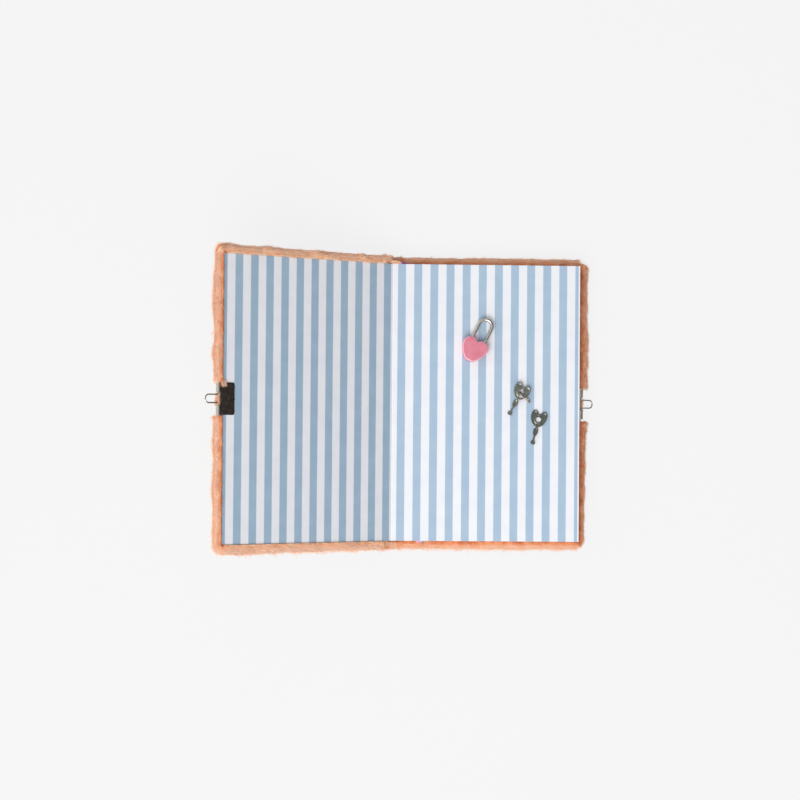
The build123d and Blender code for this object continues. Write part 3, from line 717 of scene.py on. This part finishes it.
def skin_of(node, name, voxel, keep):
    """A copy of a solid, evenly faced: voxel is the face's size in mm, keep the share of faces left."""
    bm = bmesh.new()
    bm.from_mesh(solids[node].data)
    bmesh.ops.remove_doubles(bm, verts=bm.verts, dist=seam * MM)
    mesh = bpy.data.meshes.new(name)
    bm.to_mesh(mesh)
    bm.free()
    rough = bpy.data.objects.new(name, mesh)
    scene.collection.objects.link(rough)
    even = rough.modifiers.new("even", "REMESH")
    even.mode = "VOXEL"
    even.voxel_size = voxel * MM
    fewer = rough.modifiers.new("fewer", "DECIMATE")
    fewer.ratio = keep
    mesh = worked_in(rough)
    bpy.data.objects.remove(rough)
    return new_piece(name, mesh, backing_finish)


print("skins ready")

# %% Notes on a skin
# Vector noise starts from the clock unless it gets a seed, and the pile has to lie alike each time.
noise.seed_set(5)
# Waves in the pile's lay, in its dye and in the lumps of the skin: strengths and sizes in mm.
lay_waves = (0.35, 9), (0.3, 3.5)
dye_waves = (0.25, 6), (0.3, 3)
lump_waves, deepest_hollow = ((1.6, 15), (0.6, 5)), -0.5


def limited(value):
    """The value, kept between 0 and 1."""
    return min(1.0, max(0.0, value))


def wander(draw, point, *waves):
    """Smooth noise at a point from two waves, each given as its strength and its size in mm."""
    first, second = (draw(point / (size * MM)) * strength for strength, size in waves)
    return first + second


def note(skin, growth):
    """Shape the skin and note its pile.

    Growth gives rim, field, fringe, lay, dye and painted shade in one value, and a move in mm for a point and
    its normal.
    """
    mesh = skin.data
    for name, kind in NOTES:
        mesh.attributes.new(name, kind, "POINT")
    # A new attribute moves the older ones in memory, so they are looked up when all are there.
    rims, fields, fringes, lays, dyes_and_shades = (mesh.attributes[name].data for name, kind in NOTES)
    faced = [(vert.co.copy(), vert.normal.copy()) for vert in mesh.vertices]
    for vert, (point, normal) in zip(mesh.vertices, faced):
        rim, field, fringe, lay, dye, move = growth(point, normal)
        rims[vert.index].value = rim
        fields[vert.index].value = field
        fringes[vert.index].value = fringe
        swirl = wander(noise.noise_vector, point, *lay_waves)
        lays[vert.index].vector = lay + swirl - normal * swirl.dot(normal)
        dyes_and_shades[vert.index].value = limited(dye + wander(noise.noise, point, *dye_waves))
        lump = max(deepest_hollow, wander(noise.noise, point, *lump_waves))
        vert.co = point + (move + normal * (lump if rim + field else 0.0)) * MM
        vert.co.z = max(vert.co.z, floor_gap * MM)


def forget_notes(skin):
    """Take the notes on the pile off a skin again; the dye and painted shade stay, because the ground is
    coloured by them too.
    """
    for name in ("rim", "field", "fringe", "lay"):
        skin.data.attributes.remove(skin.data.attributes[name])


print("notes ready")

# %% [markdown]
# ## What grows where
# A cover's skin has zones: it is bare on the board and on the wall of the turn-in beside the paper,
# has short pile on the rims and long pile on the outside. The edges differ in how far they stand
# out, which way they are combed and how pale they are, as the photo shows them.

# %% Zones of a cover
# The board, the lip of the turned-in plush and the plush's own edge, in mm of a cover.
half_board, board_face, board_back = 106.0, -0.2, -2.7
lip_reach, half_lip = 140.2, 103.4
plush_reach, half_plush, corner_round = 147.0, 110.4, 6.8
# No long pile grows where the clasp plate lies.
plate_start, half_plate = 127, 14
# A remeshed skin strays a little from its solid, so each zone has some slack.
board_slack, wall_slack, edge_slack = 0.4, 1.2, 0.6
# Rim pile starts just above the striped face and runs round the edge to below the board.
rim_start, rim_depth, outside_depth, hinge_edge = 0.3, 2.8, 0.8, -0.2


def zones(u, v, w):
    """Whether a place lies on the board, is the turn-in's wall, has rim pile or has outside pile."""
    over_board = u < board_reach + board_slack and abs(v) < half_board + board_slack
    inside = over_board and board_back - board_slack < w < board_face + board_slack
    within = u < board_reach - wall_slack and abs(v) < half_board - wall_slack
    wall = w > board_face - board_slack and within
    over = u > board_reach - edge_slack or abs(v) > half_board - edge_slack
    edge = (w > rim_start or over) and w > board_back - rim_depth and u > hinge_edge
    rim = edge and not inside and not wall
    clear = u < plate_start or abs(v) > half_plate
    field = not inside and not rim and w < board_back - outside_depth and clear
    return inside, wall, float(rim), float(field)


print("turn-in is", round(plush_reach - lip_reach, 1), "mm wide")

# %% Colour and press of a cover's edges
# The front cover's ends are pressed in more towards the spine, from here on over this many mm.
narrows_from, narrows_over, half_height = 130, 80, 110


def rim_dye_light_and_shade(side, v, past_lip, past_end):
    """How pale the rim's pile is, from how far it grows past the lip at the fore edge and at the ends.

    Each term rises by 1 over so many mm; the front cover's head is all pale, as painted light. The deep
    colour beside the lip is painted shade; on the back cover it reaches further out, as painted shade from
    the block of leaves.
    """
    if side == "front":
        return max(past_lip / 3.0 - 0.1, 1.0 if v > half_lip else past_end / 1.5 + 0.3)
    return max(past_lip / 6.5 - 0.1, past_end / 6 + 0.2 if v > 0 else past_end / 4)


def pressed_in(side, u, v):
    """How far the skin sits in from the solid at the fore edge, the head and the tail, in mm."""
    if side == "front":
        near_spine = limited((narrows_from - u) / narrows_over)
        return 2.4, 1.9 + 2.3 * near_spine, 2.0 + 1.3 * near_spine
    to_tail = max(0.0, -v / half_height)
    return 3.4 * to_tail, 5.1, 3.3


print("front cover's edges pressed in by", pressed_in("front", lip_reach, 0), "mm")

# %% Growth on the covers
# How far a rim's strands lean outwards and are combed sideways, at fore edge, head and tail.
fore_lean, head_lean, tail_lean = 0.32, 0.2, -0.4
fore_comb, head_comb, tail_comb = -0.6, 0.85, 0.6
# Over how many mm from the lip they turn that way.
fore_before, fore_turn, end_turn = 0.6, 1.5, 3
lift, outside_comb, outside_dye = 0.18, 0.5, 0.55
# The fringe grows where the skin faces an edge by at least this much.
fringe_facing = 0.45
# The turn-in's wall is painted deep near the fore edge and all along the back cover: painted shade beside the
# paper. Its ends stand a step further in.
wall_dye, wall_shade_reach, wall_end, wall_step = 0.75, 1.5, 0.9, 0.85
# Both faces are pressed in too, and the turned-in edge rolls off over its outer few millimetres.
face_press, back_press = 0.6, 1.2
roll_reach, half_roll, roll_width, roll_drop, roll_depth = 141.2, 104.6, 5, 2.4, 4


def cover_growth(side):
    """The rule for one cover. The head edge is combed flat, the tail edge stands out more."""
    out, off = covers[side][1:]
    along = Vector((0, 1, 0))

    def lay_at(u, v, normal, rim):
        """Which way the pile lies."""
        to_fore = limited((u - lip_reach + fore_before) / fore_turn)
        to_end = limited((abs(v) - half_lip) / end_turn)
        end_lean, end_comb = (head_lean, head_comb) if v > 0 else (tail_lean, tail_comb)
        outward = out * fore_lean * to_fore + along * (end_lean * to_end)
        comb = Vector((end_comb, 0, 0)) * to_end + Vector((0, fore_comb, 0)) * to_fore
        if not rim:
            outward, comb = Vector(), -out * outside_comb - along * outside_comb
        comb -= normal * comb.dot(normal)
        return normal * lift + outward + comb

    def edge_move(u, v, w, normal):
        """How the skin is pressed in, rolled off and rounded at the corners."""
        nu, nv, nw = normal.dot(out), normal.y, normal.dot(off)
        fore, head, foot = pressed_in(side, u, v)
        move = -(out * fore * max(0.0, nu) ** 2)
        move -= along * (head * max(0.0, nv) ** 2 - foot * max(0.0, -nv) ** 2)
        move -= off * (face_press * max(0.0, nw) ** 2 - back_press * max(0.0, -nw) ** 2)
        # The turned-in edge is a soft roll, so its face falls off towards the outside.
        roll = max(0.0, (u - roll_reach) / roll_width, (abs(v) - half_roll) / roll_width)
        move -= off * roll_drop * min(1.0, roll) ** 2 * limited((w + roll_depth) / roll_depth)
        # The corners are turned in over a finger, which leaves them round.
        wide, high = corner_round - fore, corner_round - (head if v > 0 else foot)
        past = Vector(((u + move.dot(out) - plush_reach + corner_round) / wide,
                       (abs(v + move.y) - half_plush + corner_round) / high))
        if min(past) > 0 and past.length > 1:
            drawn = past * (1 / past.length - 1)
            move += out * drawn.x * wide + along * drawn.y * high * (1 if v > 0 else -1)
        return move

    def growth(point, normal):
        """What grows at a point of the skin."""
        u, v, w = on_cover(side, point)
        inside, wall, rim, field = zones(u, v, w)
        past_lip, past_end = u - lip_reach, abs(v) - half_lip
        fringe = rim * (max(normal.dot(out), abs(normal.y)) > fringe_facing)
        dye, move = outside_dye, Vector()
        if rim:
            # The rim's colour holds painted shade beside the lip and painted light at the front cover's head.
            dye = rim_dye_light_and_shade(side, v, past_lip, past_end)
        elif wall:
            # Painted shade: the wall is deepest beside the paper at the fore edge, and all along on the back
            # cover.
            dye = 0.0 if past_lip > -wall_shade_reach or side == "back" else wall_dye
        if wall and abs(v) > half_lip - wall_end:
            move = along * (-wall_step if v > 0 else wall_step)
        elif not wall and not inside:
            move = edge_move(u, v, w, normal)
        return rim, field, fringe, lay_at(u, v, normal, rim), dye, move

    return growth


print("growth ready")

# %% Plush on the covers
# Sorts of pile: strands in a square mm, and their width and length in mm.
rim_sort, outside_sort, fringe_sort = (4.4, 0.25, 2.7), (1.5, 0.45, 5.0), (3.0, 0.14, 2.6)
for side, seed in (("front", 11), ("back", 41)):
    skin = skin_of(f"{side}_plush", f"{side}_cover_backing", voxel=1.0, keep=0.4)
    note(skin, cover_growth(side))
    rim_pile = grow_pile(f"{side}_rim_pile", skin, "rim", *rim_sort, seed)
    outside_pile = grow_pile(f"{side}_outside_pile", skin, "field", *outside_sort, seed + 10)
    fringe_pile = grow_pile(f"{side}_fringe_pile", skin, "fringe", *fringe_sort, seed + 20,
                            stand=0.9, spread=0.5)
    forget_notes(skin)
    for piece in (skin, rim_pile, outside_pile, fringe_pile):
        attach(piece, f"{side}_cover")
    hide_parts(f"{side}_plush")

# %% [markdown]
# ## Spine and joints
# The covering runs on over the spine. At the two joints it is loose cloth that bends when a cover
# or the block of leaves turns; here these strips lie between the two bodies they join.

# %% Spine
# Near the ends the pile is combed away from the spine and painted paler, as light against the shade of the
# crevice there, and past the leaves it grows all round.
end_start, leaves_end = 100, 103.8
spine_outside, outside_facing = Vector((-0.8, 0, -0.6)), 0.15
loose_lift, loose_press, head_press, tail_press = 0.35, 0.8, 3.2, 2.0
middle_comb, end_comb, middle_dye, end_dye_painted_light = Vector((0, -0.5, 0)), Vector((0.5, 0, -0.2)), 0.5, 0.8
spine_sort, joint_sort = (3.5, 0.32, 3.2), (4.5, 0.26, 2.4)


def loose_growth(point, normal):
    """Pile on the spine and joints: it grows outwards and at the ends, combed towards the tail."""
    comb, dye = (middle_comb, middle_dye) if abs(point.y) < end_start * MM else (end_comb, end_dye_painted_light)
    lay = normal * loose_lift + comb - normal * comb.dot(normal)
    outside = normal.dot(spine_outside) > outside_facing or abs(point.y) > leaves_end * MM
    drawn_in = head_press * max(0.0, normal.y) ** 2 - tail_press * max(0.0, -normal.y) ** 2
    return float(outside), 0.0, 0.0, lay, dye, -normal * loose_press - Vector((0, drawn_in, 0))


spine_skin = skin_of("spine_plush", "spine_backing", voxel=0.9, keep=0.5)
note(spine_skin, loose_growth)
spine_pile = grow_pile("spine_pile", spine_skin, "rim", *spine_sort, seed=71)
forget_notes(spine_skin)
for piece in (spine_skin, spine_pile):
    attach(piece, "text_block")
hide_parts("spine_plush")

# %% Joints
# The strip is cut across often, and a few times round its section.
cuts_along, cuts_round = 90, 2


def joint_strip(name, corners, tail, head):
    """A four-sided strip along the spine; corners are x and z in mm, round the section."""
    bm = bmesh.new()
    bmesh.ops.create_cube(bm, size=2.0)
    order = {(-1, -1): 0, (-1, 1): 1, (1, 1): 2, (1, -1): 3}
    for vert in bm.verts:
        x, z = corners[order[round(vert.co.x), round(vert.co.z)]]
        vert.co = Vector((x, head if vert.co.y > 0 else tail, z)) * MM
    long_edges = [edge for edge in bm.edges if abs(edge.verts[0].co.y - edge.verts[1].co.y) > 0.1]
    bmesh.ops.subdivide_edges(bm, edges=long_edges, cuts=cuts_along, use_grid_fill=True)
    cross_edges = [edge for edge in bm.edges if abs(edge.verts[0].co.y - edge.verts[1].co.y) < 1e-6]
    bmesh.ops.subdivide_edges(bm, edges=cross_edges, cuts=cuts_round, use_grid_fill=True)
    bmesh.ops.recalc_face_normals(bm, faces=bm.faces)
    return piece_from(name, bm, backing_finish)


joint_tail, joint_head = -108.4, 110.2
# Each joint: the corners of its section, its two bodies, where the blend starts and ends, and a seed.
joints = (
    ("front", [(-77.6, 14.5), (-82.1, 18.3), (-79.2, 22.3), (-74.2, 18.6)], ("text_block", "front_cover"),
     (-76.0, 16.8), (-80.5, 20.2), 81),
    ("back", [(-77.0, 1.6), (-77.9, 6.6), (-75.3, 6.9), (-73.2, 1.2)], ("back_cover", "text_block"),
     (-74.2, 3.0), (-77.0, 6.2), 91),
)
for side, corners, bodies, first, last, seed in joints:
    strip = joint_strip(f"{side}_joint_backing", corners, joint_tail, joint_head)
    note(strip, loose_growth)
    strip_pile = grow_pile(f"{side}_joint_pile", strip, "rim", *joint_sort, seed)
    forget_notes(strip)
    for piece in (strip, strip_pile):
        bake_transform(piece)

# %% [markdown]
# ## Tufts at the clasps
# The plates are clamped over the pile, so tufts of it stick out through their windows, and a lock
# of it has fallen over the upper corner of the front plate. Two more locks lie over the ends of the
# gutter.

# %% Tufts
tuft_width = 0.24


def tuft(name, side, body, low, high, lay, dye, density, length, seed):
    """A patch of pile between two corners in mm of a cover; lay is in the cover's directions too."""
    out, off = covers[side][1:]
    bm = bmesh.new()
    bmesh.ops.create_grid(bm, x_segments=6, y_segments=12, size=0.5)
    for vert in bm.verts:
        s, t = vert.co.x + 0.5, vert.co.y + 0.5
        vert.co = from_cover(side, low[0] + s * (high[0] - low[0]), low[1] + t * (high[1] - low[1]),
                             low[2] + s * (high[2] - low[2]))
    patch = piece_from(name, bm, backing_finish)
    direction = out * lay[0] + Vector((0, lay[1], 0)) + off * lay[2]
    note(patch, lambda point, normal: (1.0, 0.0, 0.0, direction, dye, Vector()))
    pile = grow_pile(f"{name}_pile", patch, "rim", density, tuft_width, length, seed)
    bpy.data.objects.remove(patch)
    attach(pile, body)


# Each tuft: its cover, body, two corners, lay, how pale, strands in a square mm, their length, and a seed.
tufts = {
    "front_window": ("front", "front_cover", (142.3, -4.5, -0.5), (142.6, 4.5, -2.3),
                     (1.2, -0.25, -0.5), 0.6, 20, 2.6, 101),
    "back_window": ("back", "back_cover", (142.3, -4.5, -0.5), (142.6, 4.5, -2.3),
                    (1.2, -0.2, -0.3), 0.4, 20, 3.2, 111),
    "front_corner": ("front", "front_cover", (138.8, 11.7, 0.3), (142.4, 13.8, 0.7),
                     (-0.3, -0.95, 0.3), 1.0, 22, 3.8, 121),
    "head_lock": ("back", "text_block", (-4.0, 103.5, 12.1), (2.0, 105.4, 12.4),
                  (0.85, 0.0, 0.25), 0.75, 22, 4.6, 131),
    "tail_lock": ("back", "text_block", (-6.0, -106.8, 12.4), (1.0, -103.6, 12.8),
                  (0.8, -0.2, 0.25), 0.5, 14, 3.8, 141),
}
for name, row in tufts.items():
    tuft(name, *row)

# %% [markdown]
# ## Before the end
# The strand that was copied goes away.

# %% Finish
bpy.data.objects.remove(strand)
